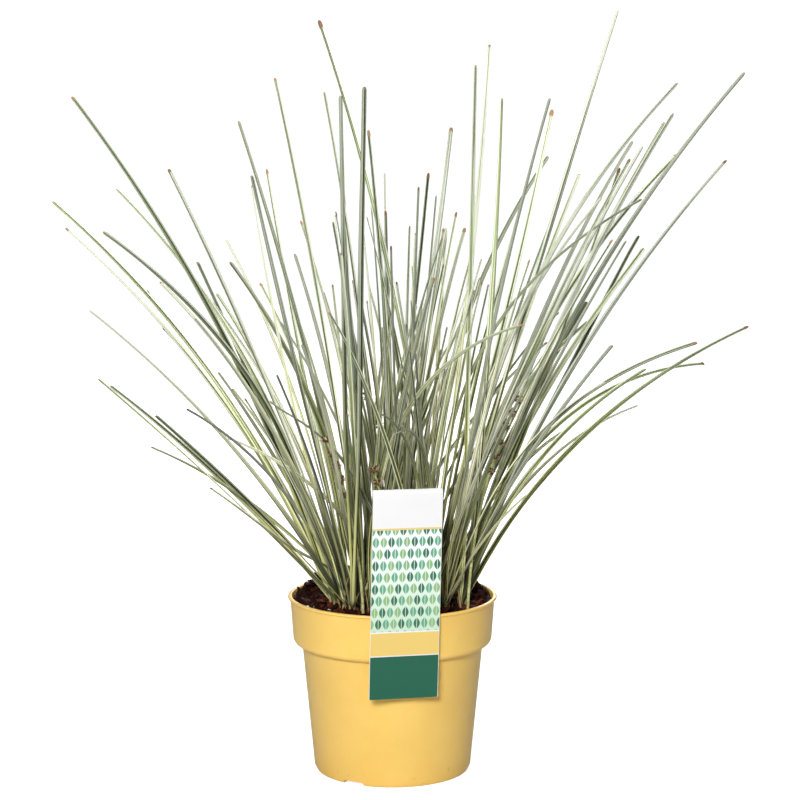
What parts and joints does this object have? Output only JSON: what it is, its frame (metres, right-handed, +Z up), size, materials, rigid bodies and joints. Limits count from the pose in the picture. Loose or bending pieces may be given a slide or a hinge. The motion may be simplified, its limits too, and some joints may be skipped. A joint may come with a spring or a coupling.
{
  "type": "potted spiny-head mat rush",
  "caption": "Variegated tussock of stiff arching rush blades with low spiny flower spikes, standing in bark mix in a collared round nursery pot with a plain label card.",
  "frame": {"origin": "on the pot's axis, at the surface that the pot's foot stands on", "axes": "+Z up along the pot's axis, -Y towards the front, where the label card hangs"},
  "size_m": [0.5577, 0.49, 0.6137],
  "materials": {
    "pot_plastic": "satin moulded yellow plastic",
    "bark_mix": "rough damp bark chips in peat",
    "leaf_blade": "semi-matt grey-green blade with cream stripes",
    "flower_spike": "dry rust-brown bracts on a pale stalk",
    "label_card": "smooth printed plastic card"
  },
  "bodies": {
    "root": {"pot": "pot_plastic", "potting_mix": "bark_mix", "plant_label": "label_card", "flower_spike_1": "flower_spike", "flower_spike_2": "flower_spike", "flower_spike_3": "flower_spike", "flower_spike_4": "flower_spike", "shoot_01": "leaf_blade", "shoot_02": "leaf_blade", "shoot_03": "leaf_blade", "shoot_04": "leaf_blade", "shoot_05": "leaf_blade", "shoot_06": "leaf_blade", "shoot_07": "leaf_blade", "shoot_08": "leaf_blade", "shoot_09": "leaf_blade", "shoot_10": "leaf_blade", "shoot_11": "leaf_blade", "shoot_12": "leaf_blade", "shoot_13": "leaf_blade", "shoot_14": "leaf_blade", "shoot_15": "leaf_blade", "shoot_16": "leaf_blade", "shoot_17": "leaf_blade", "shoot_18": "leaf_blade", "shoot_19": "leaf_blade", "shoot_20": "leaf_blade", "shoot_21": "leaf_blade", "shoot_22": "leaf_blade", "shoot_23": "leaf_blade", "shoot_24": "leaf_blade", "shoot_25": "leaf_blade", "shoot_26": "leaf_blade", "shoot_27": "leaf_blade", "shoot_28": "leaf_blade", "shoot_29": "leaf_blade", "shoot_30": "leaf_blade", "shoot_31": "leaf_blade"}
  },
  "joints": []
}
